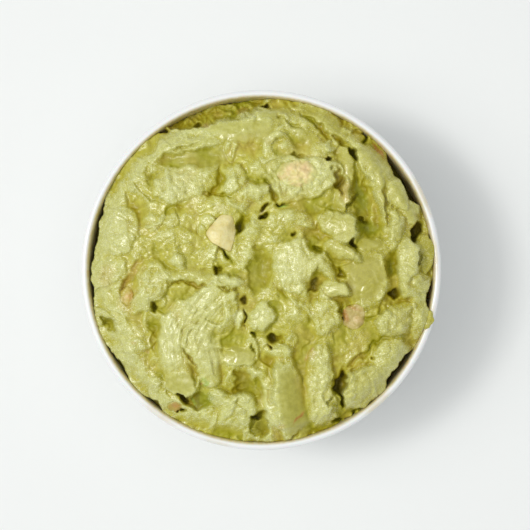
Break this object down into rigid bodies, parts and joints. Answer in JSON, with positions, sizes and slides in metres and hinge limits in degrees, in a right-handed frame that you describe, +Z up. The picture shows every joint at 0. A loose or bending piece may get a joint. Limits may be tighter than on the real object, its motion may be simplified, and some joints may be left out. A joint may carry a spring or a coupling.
{
  "type": "bowl of guacamole",
  "caption": "Small round white porcelain bowl heaped with chunky guacamole, pressed in folds with pits, a gap at the wall and firm pieces of avocado.",
  "frame": {"origin": "on the table under the bowl's axis, at the centre of the foot ring", "axes": "+Z up along the bowl's axis; seen from above as in the picture, +X points right and +Y points to the picture's top edge"},
  "size_m": [0.12, 0.12, 0.0693],
  "materials": {
    "porcelain": "gloss",
    "guacamole": "satin",
    "pale_avocado": "satin",
    "pink_avocado": "satin",
    "brown_avocado": "satin"
  },
  "bodies": {
    "root": {"bowl": "porcelain", "guacamole": "guacamole", "pale_lump": "pale_avocado", "pink_lump": "pink_avocado", "brown_chunk": "brown_avocado", "left_chunk": "brown_avocado", "rim_chunk": "brown_avocado"}
  },
  "joints": []
}
